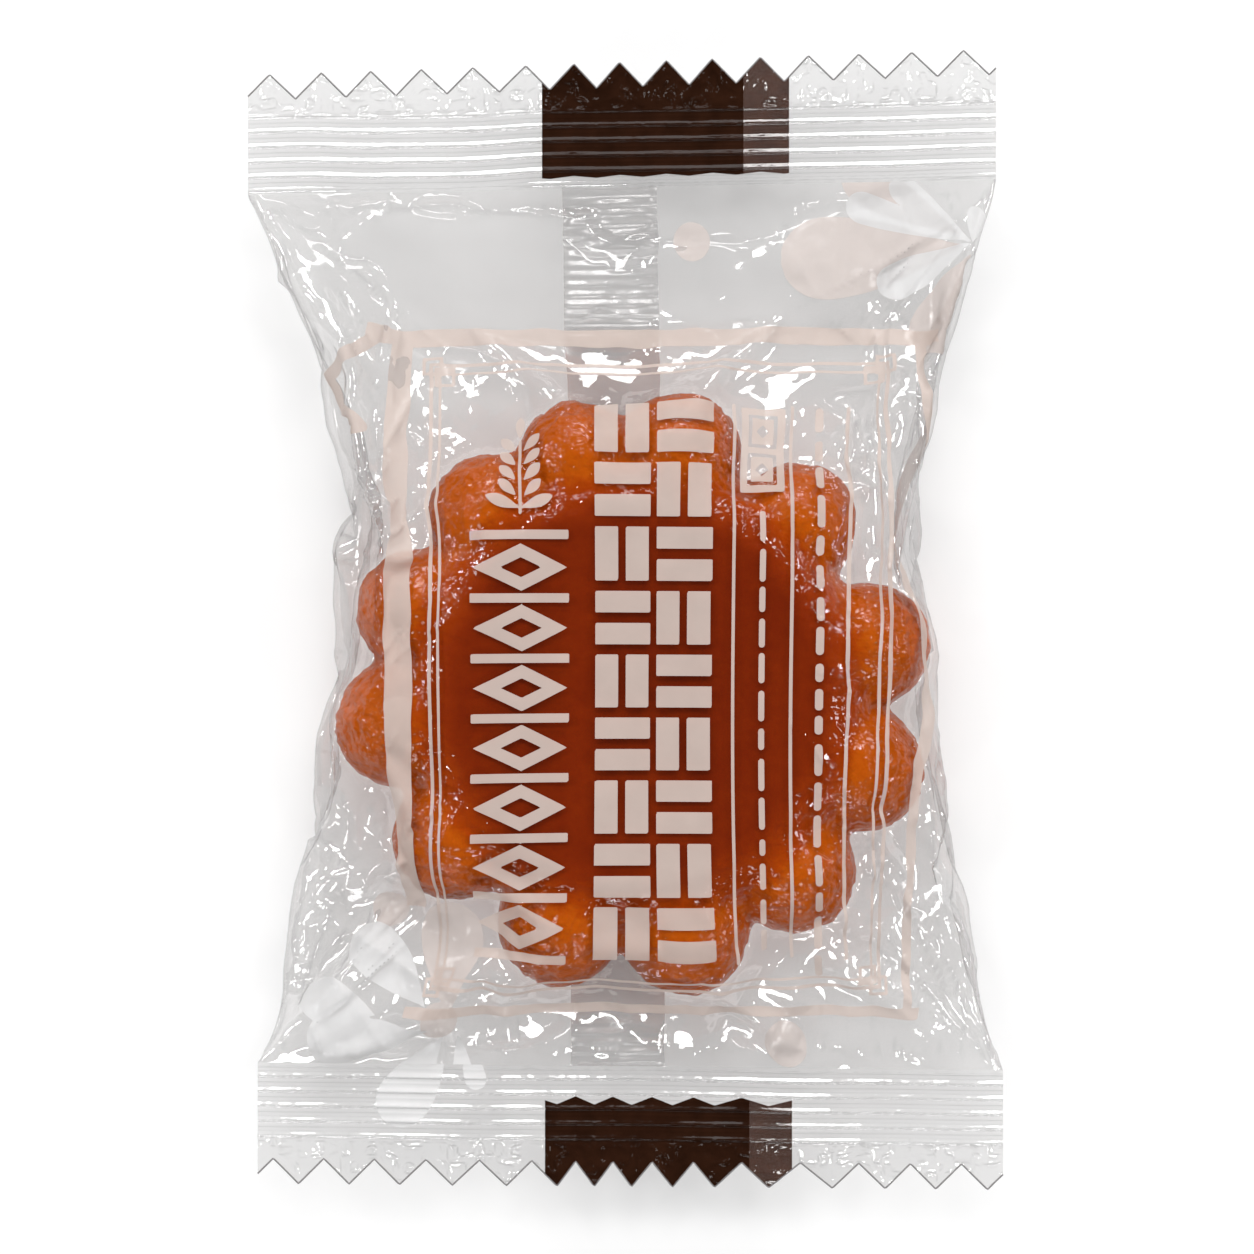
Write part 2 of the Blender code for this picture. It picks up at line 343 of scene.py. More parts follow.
def wear(film, points):
    """How finely wrinkled each place of the film is, from 0 to 1: most on the lobes and in loose patches."""
    u, v = film.places()
    patches = np.clip(1.6 * smooth_noise(u, v, 5.0, 40) - 0.2, 0, 1)
    away = np.hypot(points[..., 0] - COOKIE_X, points[..., 1] - COOKIE_Y)
    loose = np.clip((away - 20) / 4, 0, 1)
    calm = calm_patch(u, v, (-11, 27), (9, 6))
    return np.clip(0.3 * patches * loose * (1 - calm) + cling(points), 0, 1)


def wetness(points):
    """1 where the film lies over the cookie and its syrup, falling to 0 just outside the cookie's outline."""
    beside = (points - (COOKIE_X, COOKIE_Y, COOKIE_Z)) * (1, 1, 0)
    return np.clip((0.5 - cookie_field(beside)) / 0.8, 0, 1)


def cling(points):
    """How closely the film clings to the lobes, from 0 to 1."""
    out = np.clip((np.hypot(points[..., 0] - COOKIE_X, points[..., 1] - COOKIE_Y) - 15) / 3, 0, 1)
    return out * wetness(points)


def handling(film, cell, seed):
    """Uneven pushes that crumple the film, strong at the sides and weak where the photo's film is calm."""
    u, v = film.places()
    side = np.clip((np.abs(u) - 14) / 9, 0, 1)
    calm = calm_patch(u, v, (-11, 27), (9, 7))
    amount = (0.55 + 0.6 * side) * (1 - 0.75 * calm)
    shift = np.where(film.front(), 0, 60)
    return amount * smooth_noise(u + shift, v, cell, seed)


def make_film():
    film = Film(50, 60)
    film.settle(110, 12, 0.1, 0.0, start=0.03, walls=(0, 1))
    film.settle(50, 12, 0.1, -0.004)
    film.refine(0.02)
    film.settle(50, 12, 0.03, -0.002 + 0.009 * handling(film, 3.5, 3))
    film.settle(25, 12, 0.03, -0.002)
    film.refine(0.004)
    film.settle(14, 10, 0.05, -0.001 + 0.004 * handling(film, 1.8, 5))
    film.settle(10, 10, 0.05, -0.001)
    return film


def cookie_field(p):
    """Distance to the cookie's smooth form, about, with p from its middle."""
    radial = np.hypot(p[..., 0], p[..., 1])
    over = radial - (DISC_RADIUS - 0.5 - DISC_ROUND)
    top = DISC_HALF - 0.15 - 0.4 * np.exp(-((radial / 10) ** 2))
    above = np.abs(p[..., 2]) - (top - DISC_ROUND)
    corner = np.hypot(np.maximum(over, 0), np.maximum(above, 0))
    disc = corner + np.minimum(np.maximum(over, above), 0) - DISC_ROUND
    values = [disc]
    for angle, reach, radius in LOBES:
        turn = math.radians(angle)
        tip = np.array((math.cos(turn), math.sin(turn)))
        inner = reach - radius - 6.5
        along = np.clip(p[..., 0] * tip[0] + p[..., 1] * tip[1], inner, reach - radius)
        dx, dy = p[..., 0] - along * tip[0], p[..., 1] - along * tip[1]
        slim = radius * (0.82 + 0.18 * (along - inner) / 6.5)
        values.append(np.sqrt(dx**2 + dy**2 + (p[..., 2] * radius / LOBE_HALF_HEIGHT) ** 2) - slim)
    blend = 0.6
    total = sum(np.exp(-np.minimum(value, 12) / blend) for value in values)
    return -blend * np.log(total)


def clear_of_cookie(points, gap):
    """Moves the points that are nearer the cookie than gap out to it."""
    p = points - (COOKIE_X, COOKIE_Y, COOKIE_Z)
    here = cookie_field(p)
    near = here < gap
    q, value, step = p[near], here[near], 0.05
    slope = np.stack([(cookie_field(q + step * axis) - value) / step for axis in np.eye(3)], -1)
    slope /= np.maximum(np.linalg.norm(slope, axis=-1, keepdims=True), 1e-6)
    moved = points.copy()
    moved[near] += slope * (gap - value)[:, None]
    return moved


def nearest(x, y, points):
    """The distance to a line of points, and the share of its length at which the line is nearest."""
    best, along = np.full(x.shape, 1e9), np.zeros(x.shape)
    points = np.array(points, float)
    steps = np.linalg.norm(np.diff(points, axis=0), axis=1)
    total, done = steps.sum(), 0.0
    for (ax, ay), (bx, by), step in zip(points[:-1], points[1:], steps):
        t = np.clip(((x - ax) * (bx - ax) + (y - ay) * (by - ay)) / step**2, 0, 1)
        d = np.hypot(x - ax - t * (bx - ax), y - ay - t * (by - ay))
        near = d < best
        best = np.where(near, d, best)
        along = np.where(near, (done + t * step) / total, along)
        done += step
    return best, along


def line_relief(x, y, points, height, width):
    """A sharp-crested fold along a line of points, fading at both ends."""
    best, along = nearest(x, y, points)
    fade = np.sin(np.pi * np.clip(along, 0.02, 0.98)) ** 0.5
    return height * fade * np.exp(-best / width)


# Main folds of the front film, as (points, height, width)
FRONT_FOLDS = (
    (((-13.2, 24.2), (-17.5, 18.8), (-20.6, 13.4), (-23.2, 9.6)), 0.55, 0.8),
    (((-13.0, 24.0), (-5.0, 24.9), (6.0, 24.2), (17.0, 25.2)), 0.3, 0.7),
    (((-29.6, 31.5), (-24.5, 25.0), (-22.0, 20.0)), 0.4, 0.9),
    (((-28.0, 33.0), (-20.0, 28.5), (-13.0, 24.5)), 0.3, 0.7),
    (((-21.0, 33.5), (-15.0, 29.5), (-9.5, 24.8)), 0.25, 0.6),
    (((16.0, 26.0), (21.5, 29.0), (27.5, 34.5)), 0.35, 0.8),
    (((22.0, 24.0), (24.5, 16.0), (25.2, 8.0)), 0.35, 0.7),
    (((12.0, 33.0), (15.0, 28.5), (17.0, 25.0)), 0.25, 0.7),
    (((-27.5, -22.3), (-23.5, -25.5), (-17.0, -29.8), (-9.0, -33.0)), 0.4, 0.8),
    (((-27.8, -22.2), (-22.0, -21.0), (-17.5, -21.8)), 0.35, 0.7),
    (((-27.6, -22.4), (-24.0, -30.0), (-20.0, -35.5)), 0.35, 0.8),
    (((-26.0, -14.0), (-22.0, -16.5), (-18.5, -21.0)), 0.3, 0.6),
    (((21.0, -20.0), (25.0, -25.0), (29.0, -33.0)), 0.35, 0.8),
    (((16.0, -26.0), (20.0, -30.0), (27.0, -36.0)), 0.3, 0.7),
    (((24.0, -6.0), (25.0, -14.0), (26.0, -21.0)), 0.3, 0.6),
    (((-24.5, -2.0), (-23.5, 3.0), (-22.0, 7.0)), 0.3, 0.6),
)


def random_creases():
    """Thin creases: fans from the corners, short ones from the seals, and loose ones at the sides."""
    rng = np.random.default_rng(7)
    creases = []

    def add(x, y, turn, length, height):
        bend = rng.uniform(-0.25, 0.25)
        half = 0.5 * length
        middle = (x + half * math.cos(turn), y + half * math.sin(turn))
        end = (middle[0] + half * math.cos(turn + bend), middle[1] + half * math.sin(turn + bend))
        sign = 1 if rng.random() < 0.7 else -1
        creases.append((((x, y), middle, end), sign * height, rng.uniform(0.19, 0.36)))

    corners = ((-29, 34, -62), (29, 34, -118), (-28.5, -35.5, 55), (29, -35.5, 125))
    for corner_x, corner_y, aim in corners:
        for _ in range(9):
            turn = math.radians(aim + rng.uniform(-34, 34))
            start = rng.uniform(0.5, 4)
            x, y = corner_x + start * math.cos(turn), corner_y + start * math.sin(turn)
            add(x, y, turn, rng.uniform(6, 17), rng.uniform(0.2, 0.4))
    for edge_y, aim in ((35.3, -90), (-36.6, 90)):
        for _ in range(16):
            turn = math.radians(aim + rng.uniform(-30, 30))
            add(rng.uniform(-27, 27), edge_y, turn, rng.uniform(2, 6), rng.uniform(0.1, 0.22))
    for side in (-1, 1):
        for _ in range(36):
            turn = math.radians(90 + side * rng.uniform(-15, 60))
            x, y = side * rng.uniform(18.5, 25), rng.uniform(-27, 24)
            add(x, y, turn, rng.uniform(3, 9), rng.uniform(0.18, 0.38))
    return creases


def crumple(x, y, front):
    """Fine relief of the film: facets and creases, strongest at the sides and near the seals."""
    side = np.clip((np.abs(x - 0.5) - 15) / 9, 0, 1)
    over = np.hypot(x - COOKIE_X, y - COOKIE_Y)
    off_cookie = np.clip((over - 19) / 6, 0, 1)
    calm = calm_patch(x, y, (-13, 29), (8, 4.5))
    amount = (0.1 + 0.9 * np.maximum(side, off_cookie)) * (1 - 0.7 * calm)
    shift = 0 if front else 20
    relief = 0.3 * facet_noise(x, y, 5.5, 1 + shift) + 0.1 * facet_noise(x, y, 1.6, 3 + shift)
    # Long creases that lean towards the pack's corners on each side
    right_side = np.clip(0.5 + x / 16, 0, 1)
    for weight, turn, seed in ((1 - right_side, 0.45, 2), (right_side, -0.45, 4)):
        over = x * math.cos(turn) + y * math.sin(turn)
        along = y * math.cos(turn) - x * math.sin(turn)
        relief += weight * 0.42 * facet_noise(over, along / 2.2, 2.7, seed + shift)
    # Short wrinkles that run off the seals
    beside = FILM_LENGTH / 2 - np.abs(y + 1) - 1.5
    gathered = np.exp(-((beside / 1.1) ** 2))
    return relief * amount + 0.24 * gathered * facet_noise(x, y / 2.2, 1.1, 6 + shift)


def finish_film(film):
    """Adds the folds and the fine relief, and returns the film's points and outward normals."""
    n = film.across
    out = film.normals()
    p = film.points
    rows = np.linspace(0, 1, film.along + 1)[:, None]
    ends = np.clip(np.minimum(rows, 1 - rows) * FILM_LENGTH / 1.2, 0, 1)
    columns = np.arange(2 * n)
    u, v = film.places()
    front = film.front()
    relief = np.where(front, crumple(u, v - 1, True), crumple(u, v - 1, False))
    for points, height, width in (*FRONT_FOLDS, *random_creases()):
        relief = relief + np.where(front, line_relief(p[..., 0], p[..., 1], points, height, width), 0)
    around = np.minimum(columns, np.abs(columns - n))
    around = np.minimum(around, 2 * n - columns) * film.dx
    blend = np.clip(around / 1.5, 0.35, 1)
    p = p + out * (relief * ends * blend)[..., None]
    for _ in range(4):
        # The front stays over the back, and both stay off the cookie
        part_layers(p, n, FINAL_LAYER_GAP)
        p = clear_of_cookie(p, FINAL_COOKIE_GAP)
    p[..., 2] = np.maximum(p[..., 2], FLOOR_GAP)
    film.points = p
    film.pin()
    return film.points, film.normals()


# Meshes


def mesh_object(name, points, faces, material):
    """A mesh piece from points in millimetres and faces of equal length."""
    points, faces = np.asarray(points, float), np.asarray(faces, int)
    mesh = bpy.data.meshes.new(name)
    mesh.vertices.add(len(points))
    mesh.vertices.foreach_set("co", (points * MM).astype(np.float32).ravel())
    sides = faces.shape[1]
    mesh.loops.add(faces.size)
    mesh.loops.foreach_set("vertex_index", faces.astype(np.int32).ravel())
    mesh.polygons.add(len(faces))
    mesh.polygons.foreach_set("loop_start", np.arange(0, faces.size, sides, dtype=np.int32))
    mesh.polygons.foreach_set("use_smooth", np.ones(len(faces), bool))
    mesh.update(calc_edges=True)
    mesh.validate()
    mesh.materials.append(material)
    made = bpy.data.objects.new(name, mesh)
    bpy.context.scene.collection.objects.link(made)
    return made


def bend_of(grid, closed=False):
    """How sharply a grid's surface bends at each point, in 1/mm. An open grid bends in height alone."""
    bent = grid if closed else grid * (0, 0, 1)
    across = np.roll(bent, 1, 1) + np.roll(bent, -1, 1) - 2 * bent
    width = np.linalg.norm(np.roll(grid, -1, 1) - grid, axis=-1)
    if not closed:
        across[:, 0] = across[:, -1] = 0
    along = np.zeros_like(grid)
    along[1:-1] = bent[2:] + bent[:-2] - 2 * bent[1:-1]
    height = np.linalg.norm(grid[1:] - grid[:-1], axis=-1)
    height = np.concatenate([height, height[-1:]])
    over = np.linalg.norm(across, axis=-1) / np.maximum(width, 0.05) ** 2
    return np.maximum(over, np.linalg.norm(along, axis=-1) / np.maximum(height, 0.05) ** 2)


def set_attribute(piece, name, values):
    made = piece.data.attributes.new(name, "FLOAT", "POINT")
    made.data.foreach_set("value", np.asarray(values, np.float32).ravel())


def grid_faces(rows, columns, closed=False):
    """Quads of a grid of rows by columns points, closed round its columns if asked."""
    index = np.arange(rows * columns).reshape(rows, columns)
    if closed:
        index = np.concatenate([index, index[:, :1]], axis=1)
    return np.stack([index[:-1, :-1], index[:-1, 1:], index[1:, 1:], index[1:, :-1]], -1).reshape(-1, 4)


def grid_piece(name, grid, material, closed=False):
    """A grid of points as a mesh piece."""
    return mesh_object(name, grid.reshape(-1, 3), grid_faces(*grid.shape[:2], closed), material)


# Materials


class Nodes:
    """The nodes of a new material."""

    def __init__(self, name):
        self.made = bpy.data.materials.new(name)
        self.made.use_nodes = True
        self.tree = self.made.node_tree
        self.tree.nodes.clear()

    def fill(self, node, values):
        """Sets a node's inputs to values, or joins them to the outputs of other nodes."""
        for place, value in values.items():
            if isinstance(value, bpy.types.NodeSocket):
                self.tree.links.new(value, node.inputs[place])
            else:
                node.inputs[place].default_value = value

    def add(self, kind, values):
        node = self.tree.nodes.new("ShaderNode" + kind)
        self.fill(node, values)
        return node

    def attribute(self, name):
        """A value that the piece's mesh holds at each of its points."""
        node = self.add("Attribute", {})
        node.attribute_name = name
        return node.outputs["Fac"]

    def math(self, operation, *values):
        node = self.add("Math", {})
        node.operation = operation
        self.fill(node, dict(enumerate(values)))
        return node.outputs[0]

    def mixed(self, share, first, second):
        """The first shader with a share of the second."""
        return self.add("MixShader", {0: share, 1: first, 2: second}).outputs[0]

    def ramp(self, source, stops):
        """A colour for each value of the source, even between the stops."""
        node = self.add("ValToRGB", {0: source})
        elements = node.color_ramp.elements
        while len(elements) < len(stops):
            elements.new(0.5)
        for element, (place, colour) in zip(elements, stops):
            element.position = place
            element.color = (*colour, 1)
        return node.outputs[0]

    def noise(self, scale, detail=3.0, roughness=0.55):
        place = self.add("TexCoord", {}).outputs["Object"]
        values = {"Scale": scale, "Detail": detail, "Roughness": roughness, "Vector": place}
        return self.add("TexNoise", values).outputs["Fac"]

    def bump(self, height, distance, strength=1.0):
        values = {"Distance": distance, "Strength": strength, "Height": height}
        return self.add("Bump", values).outputs["Normal"]

    def finish(self, shader):
        self.add("OutputMaterial", {"Surface": shader})
        return self.made


def film_material(name, clear_tint, slant_tint, mirror, roughness, fine=0.06, haze=0.1):
    """Clear film: see-through, darker at a slant, with a thin mirror that grows at a slant, and with painted
    shade that darkens its tint along creases.
    """
    nodes = Nodes(name)
    # Where the film clings to the syrup on the cookie it neither darkens nor mirrors more at a slant
    cling = nodes.attribute("cling")
    facing = nodes.add("LayerWeight", {"Blend": 0.5}).outputs["Facing"]
    slant = nodes.math("MULTIPLY", facing, nodes.math("SUBTRACT", 1.0, cling))
    middle = tuple(0.8 * a + 0.2 * b for a, b in zip(clear_tint, slant_tint))
    tints = ((0.0, clear_tint), (0.35, clear_tint), (0.6, middle), (0.95, slant_tint))
    # Painted shade: along creases the tint is mixed towards the dark slant tint, by how sharply the mesh
    # bends there
    crease_shade_tint = nodes.add("Mix", {})
    crease_shade_tint.data_type = "RGBA"
    tinted = {"Factor": nodes.attribute("painted_crease_shade"), "A": nodes.ramp(slant, tints), "B": (*slant_tint, 1)}
    nodes.fill(crease_shade_tint, tinted)
    clear = nodes.add("BsdfTransparent", {"Color": crease_shade_tint.outputs["Result"]}).outputs[0]
    uneven = nodes.math("MULTIPLY_ADD", nodes.attribute("worn"), 1 - fine, fine)
    rubbed = nodes.math("MULTIPLY", nodes.noise(1500, 0.7, 0.5), uneven)
    gloss = nodes.add("BsdfGlossy", {"Roughness": roughness, "Normal": nodes.bump(rubbed, 0.00022)})
    share = nodes.math("MULTIPLY_ADD", nodes.math("POWER", slant, 4.0), 1 - mirror, mirror)
    share = nodes.math("MULTIPLY", share, nodes.math("MULTIPLY_ADD", cling, -0.88, 1.0))
    # Loose film scatters a little light, and film that syrup wets doesn't
    scatter = nodes.add("BsdfDiffuse", {"Color": (0.85, 0.845, 0.84, 1)}).outputs[0]
    amount = nodes.math("MULTIPLY_ADD", nodes.attribute("wet"), -haze, haze)
    return nodes.finish(nodes.mixed(share, nodes.mixed(amount, clear, scatter), gloss.outputs[0]))


def mottled_material(name, colour, shades, scale, detail, values):
    """A Principled material in soft patches between two shades of a colour, as its nodes and its shader."""
    nodes = Nodes(name)
    low, high = (tuple(min(1.0, c * shade) for c in colour) for shade in shades)
    patches = nodes.ramp(nodes.noise(scale, detail), ((0.3, low), (0.7, high)))
    shader = nodes.add("BsdfPrincipled", {"Base Color": patches, **values})
    nodes.finish(shader.outputs[0])
    return nodes, shader


def ink_material(name, colour, cover, roughness=0.5):
    """Printed ink that lets a little of what is behind it through; also the dark grey painted shade of the
    seals' cut edges.
    """
    values = {"Roughness": roughness, "Alpha": cover, "Specular IOR Level": 0.12}
    return mottled_material(name, colour, (0.95, 1.03), 300, 3.0, values)[0].made


def brown_material(name, colour, cover, shine):
    """The brown ink of the seals' blocks, glossy and finely uneven."""
    values = {"Roughness": 0.09, "Alpha": cover, "Specular IOR Level": shine}
    nodes, shader = mottled_material(name, colour, (0.75, 1.25), 500, 4.0, values)
    nodes.fill(shader, {"Normal": nodes.bump(nodes.noise(1400), 0.00004, 0.6)})
    return nodes.made


def floor_material(name, colour, glow):
    """The floor: matt white acrylic on a softly lit table."""
    values = {
        "Roughness": 0.8,
        "Specular IOR Level": 0.1,
        "Emission Color": (1, 1, 1, 1),
        "Emission Strength": glow,
    }
    return mottled_material(name, colour, (0.99, 1.0), 8, 2.0, values)[0].made


def cookie_material():
    """Fried dough soaked in syrup: dark amber in the flat middle and lighter on the lobes."""
    nodes = Nodes("honey_cookie")
    rim = nodes.attribute("rim")
    place = nodes.math("MULTIPLY_ADD", nodes.noise(130, 5.0, 0.6), 0.5, rim)
    place = nodes.math("MULTIPLY_ADD", nodes.noise(800, 4.0, 0.6), 0.3, place)
    ambers = (
        (0.3, (0.21, 0.017, 0.0003)),
        (0.55, (0.27, 0.026, 0.0005)),
        (0.85, (0.375, 0.049, 0.0006)),
        (1.0, (0.48, 0.085, 0.0015)),
    )
    puffed = nodes.math("MULTIPLY_ADD", rim, 0.88, 0.12)
    skin = nodes.bump(nodes.math("MULTIPLY", nodes.noise(1700, 0.8, 0.5), puffed), 0.0003)
    values = {
        "Base Color": nodes.ramp(place, ambers),
        "Roughness": 0.5,
        "Specular IOR Level": 0.05,
        "Coat Weight": 0.65,
        "Coat Roughness": 0.04,
        "Subsurface Weight": 0.12,
        "Subsurface Radius": (1.0, 0.35, 0.1),
        "Subsurface Scale": 0.0018,
        "Normal": skin,
        "Coat Normal": skin,
    }
    return nodes.finish(nodes.add("BsdfPrincipled", values).outputs[0])


# The cookie


def make_cookie():
    around, over = 560, 176
    underside = 50
    theta = np.linspace(0, 2 * math.pi, around, endpoint=False)
    # Each ray's foot runs from the middle of the underside, round the rim, to the middle of the top
    s = np.concatenate([np.linspace(-1, 0, underside, endpoint=False), np.linspace(0, 1, over - underside)])
    rim_share = 0.45
    tilt = np.sign(s) * np.clip(np.abs(s) / rim_share, 0, 1) * math.pi / 2
    foot = np.maximum(14.0 * (1 - np.clip((np.abs(s) - rim_share) / (1 - rim_share), 0, 1)), 0.02)
    level = np.cos(tilt)[:, None]
    ring = np.stack(np.broadcast_arrays(np.cos(theta)[None], np.sin(theta)[None]), -1)
    climb = np.broadcast_to(np.sin(tilt)[:, None, None], (over, around, 1))
    way = np.concatenate([level[..., None] * ring, climb], -1)
    start = np.concatenate([foot[:, None, None] * ring, np.zeros((over, around, 1))], -1)
    low, high = np.zeros((over, around)), np.full((over, around), 14.0)
    for _ in range(20):
        middle = (low + high) / 2
        inside = cookie_field(start + way * middle[..., None]) < 0
        low, high = np.where(inside, middle, low), np.where(inside, high, middle)
    points = start + way * low[..., None]
    rim = np.clip((np.hypot(points[..., 0], points[..., 1]) - 14.5) / 8, 0, 1)
    wrinkles = 1 - 2 * np.abs(solid_noise(points, 1.6, 2))
    pebbles = 1 - 2 * np.abs(solid_noise(points, 0.85, 3))
    relief = (0.05 + 0.07 * rim) * (solid_noise(points, 4.0, 1) - 1.15 - rim)
    relief += (0.01 + 0.16 * rim) * wrinkles + (0.01 + 0.16 * rim) * pebbles
    points = points + way * relief[..., None]
    points[..., 2] = np.clip(points[..., 2], 0.14 - COOKIE_Z, None)
    points = points + (COOKIE_X, COOKIE_Y, COOKIE_Z)
    made = grid_piece("cookie", points, cookie_material(), closed=True)
    set_attribute(made, "rim", rim)
    return made


# The end seals


SEAL_COLUMNS, SEAL_ROWS = 440, 140


def tooth_edge(x, tips):
    """How far the zigzag cut stands back from the line through its tips."""
    tips = np.array(tips)
    tips = np.concatenate([[2 * tips[0] - tips[1]], tips, [2 * tips[-1] - tips[-2]]])
    notches = (tips[1:] + tips[:-1]) / 2
    places = np.concatenate([tips, notches])
    depths = np.concatenate([np.zeros(len(tips)), np.full(len(notches), TOOTH_DEPTH)])
    order = np.argsort(places)
    return np.interp(x, places[order], depths[order])


def seal_points(top, limits=None, lift=0.0, start=0.0):
    """The seal's sheet as a grid between two limits of x: ribs, then a pebbled strip and teeth."""
    if top:
        sides, middle_y, turn, outward = TOP_SIDES, TOP_Y, TOP_TURN, 1
        cut, length, tips, rib_end = TOP_CUT_TURN, TOP_LENGTH, TOP_TIPS, 6.7
    else:
        sides, middle_y, turn, outward = BOTTOM_SIDES, BOTTOM_Y, BOTTOM_TURN, -1
        cut, length, tips, rib_end = BOTTOM_CUT_TURN, BOTTOM_LENGTH, BOTTOM_TIPS, 6.5
    across = round(SEAL_COLUMNS * (limits[1] - limits[0]) / FILM_WIDTH) if limits else SEAL_COLUMNS
    x = np.linspace(*(limits or sides), across + 1)[None]
    t = np.linspace(start, 1, SEAL_ROWS + 1)[:, None]
    near = middle_y + math.tan(turn) * x
    far = middle_y + math.tan(cut) * x + outward * (length - tooth_edge(x, tips))
    y = near + (far - near) * t
    x = np.broadcast_to(x, y.shape)
    distance = np.abs(y - near)
    ribbed = np.clip(distance / 0.3, 0, 1) * np.clip((rib_end - distance) / 0.3, 0, 1)
    wander = 0.16 * smooth_noise(x, y * 0.2, 7, 3)
    phase = (outward * (distance + wander)) % RIB_PITCH
    # Going up the picture: a steep rise, then a long even slope that mirrors the top light, then flat
    ridge = np.interp(phase, (0, 0.12, 0.5, 0.58, RIB_PITCH), (0, 0.21, 0.008, -0.008, 0))
    ridge = ridge + 0.04 * np.exp(-(((phase - 0.85) / 0.1) ** 2))
    uneven = 1 + 0.12 * smooth_noise(x, y, 2.5, 6)
    relief = ridge * ribbed * uneven
    plain = 1 - ribbed
    squiggles = 1 - 2 * np.abs(smooth_noise(x, y, 0.75, 7))
    relief = relief + plain * (0.13 * squiggles + 0.07 * smooth_noise(x, y, 0.5, 8))
    relief = relief + 0.08 * facet_noise(x, y, 6.0, 12) + 0.025 * facet_noise(x, y, 2.4, 13)
    z = seal_height(x, top) + relief * np.clip(distance / 0.5, 0, 1) + lift
    return np.stack([x, y, z], -1)


def make_seal(name, top, material):
    points = seal_points(top)
    made = grid_piece(name, points, material)
    # Painted shade: the seal's tint darkens where its sheet bends sharply, at the kinks of the ribs
    set_attribute(made, "painted_crease_shade", 0.45 * np.clip((bend_of(points) - 1.5) / 6.0, 0, 1))
    return made


def make_cut_edge(name, top, material):
    """The cut edge of the seal's film as a thin dark tube: painted shade for the dark line that the edge
    shows.
    """
    radius, sides = 0.07, 6
    points = seal_points(top)[-1]
    ahead = np.gradient(points, axis=0)
    ahead /= np.linalg.norm(ahead, axis=1, keepdims=True)
    inward = np.stack([-ahead[:, 1], ahead[:, 0], np.zeros(len(ahead))], -1) * (-1 if top else 1)
    ring = []
    for angle in np.linspace(0, 2 * math.pi, sides, endpoint=False):
        ring.append(points + radius * math.cos(angle) * inward + np.array((0, 0, radius * math.sin(angle))))
    return grid_piece(name, np.stack(ring, 1), material, closed=True)


# The back fin


def make_fin(points, out, film, material):
    """The long back seal: a ribbed strip that follows the back of the film."""
    n = film.across
    column = 2 * n - (np.linspace(*FIN_SIDES, 27) + FILM_WIDTH / 2) / film.dx
    row = np.linspace(0, film.along, 700)
    place = sample(points, row[:, None], column[None])
    away = sample(out, row[:, None], column[None])
    away /= np.linalg.norm(away, axis=-1, keepdims=True)
    y = place[..., 1]
    x = place[..., 0]
    # Each rib's long side leans so that it mirrors the front or the back light, whichever it faces
    lean = np.gradient(place[..., 2], axis=0) / np.gradient(y, axis=0)
    lean = smooth_rows(lean, 24)
    extra = np.clip(np.where(lean > 0, 0.54, -0.54) - lean, -0.5, 0.5)
    pitch, long_side = 0.82, 0.54
    phase = (y + 0.12 * smooth_noise(x, y, 6, 2)) % pitch
    ribs = extra * np.where(phase < long_side, phase, long_side * (pitch - phase) / (pitch - long_side))
    edge = np.clip(np.minimum(x - x[:, :1], x[:, -1:] - x) / 0.4, 0, 1)
    ribs = ribs * edge * (0.95 + 0.1 * smooth_noise(x, y, 3, 4))
    grid = place + away * 0.25
    grid[..., 2] += ribs
    grid[..., 2] = np.maximum(grid[..., 2], 0.02)
    made = grid_piece("back_fin", grid, material)
    # Painted shade: the fin's tint darkens a little where it bends sharply
    set_attribute(made, "painted_crease_shade", 0.18 * np.clip((bend_of(grid) - 1.0) / 6.0, 0, 1))
    return made


def smooth_rows(values, reach):
    """A running mean over the rows."""
    padded = np.concatenate([values[:1].repeat(reach, 0), values, values[-1:].repeat(reach, 0)])
    total = np.cumsum(np.concatenate([np.zeros_like(values[:1]), padded]), axis=0)
    width = 2 * reach + 1
    return (total[width:] - total[:-width]) / width


def sample(grid, row, column):
    """The grid's value between its points, round its columns."""
    rows, columns = grid.shape[:2]
    r0 = np.clip(np.floor(row).astype(int), 0, rows - 2)
    c0 = np.floor(column).astype(int)
    fr, fc = (row - r0)[..., None], (column - c0)[..., None]
    c1 = (c0 + 1) % columns
    c0 = c0 % columns
    near = grid[r0, c0] * (1 - fc) + grid[r0, c1] * fc
    far = grid[r0 + 1, c0] * (1 - fc) + grid[r0 + 1, c1] * fc
    return near * (1 - fr) + far * fr


# The print


def box_field(x, y, low_x, high_x, low_y, high_y):
    """Negative inside a rectangle, by the distance to its sides."""
    return np.maximum(np.maximum(low_x - x, x - high_x), np.maximum(low_y - y, y - high_y))


def ring_field(x, y, low_x, high_x, low_y, high_y, width):
    """A rectangle's outline, drawn width thick inside it."""
    return np.maximum(
        box_field(x, y, low_x, high_x, low_y, high_y),
        -box_field(x, y, low_x + width, high_x - width, low_y + width, high_y - width),
    )


def stroke_field(x, y, points, width):
    """A line of points drawn with a round pen."""
    return nearest(x, y, points)[0] - width / 2


def leaf_field(x, y, foot, angle, length, half_width):
    """A leaf from its foot at an angle, with its half width given for each share of its length."""
    turn = math.radians(angle)
    x, y = x - foot[0], y - foot[1]
    along = x * math.cos(turn) + y * math.sin(turn)
    across = y * math.cos(turn) - x * math.sin(turn)
    half = half_width(np.clip(along / length, 0, 1))
    return np.maximum(np.abs(across) - half, np.maximum(-along, along - length))


def grain_field(x, y, foot_x, foot_y, angle, length, width):
    """A grain or a small leaf, pointed at its foot and rounded at its tip."""

    def half_width(t):
        return width / 2 * np.sin(math.pi * t**1.35) ** 0.75

    return leaf_field(x, y, (foot_x, foot_y), angle, length, half_width)


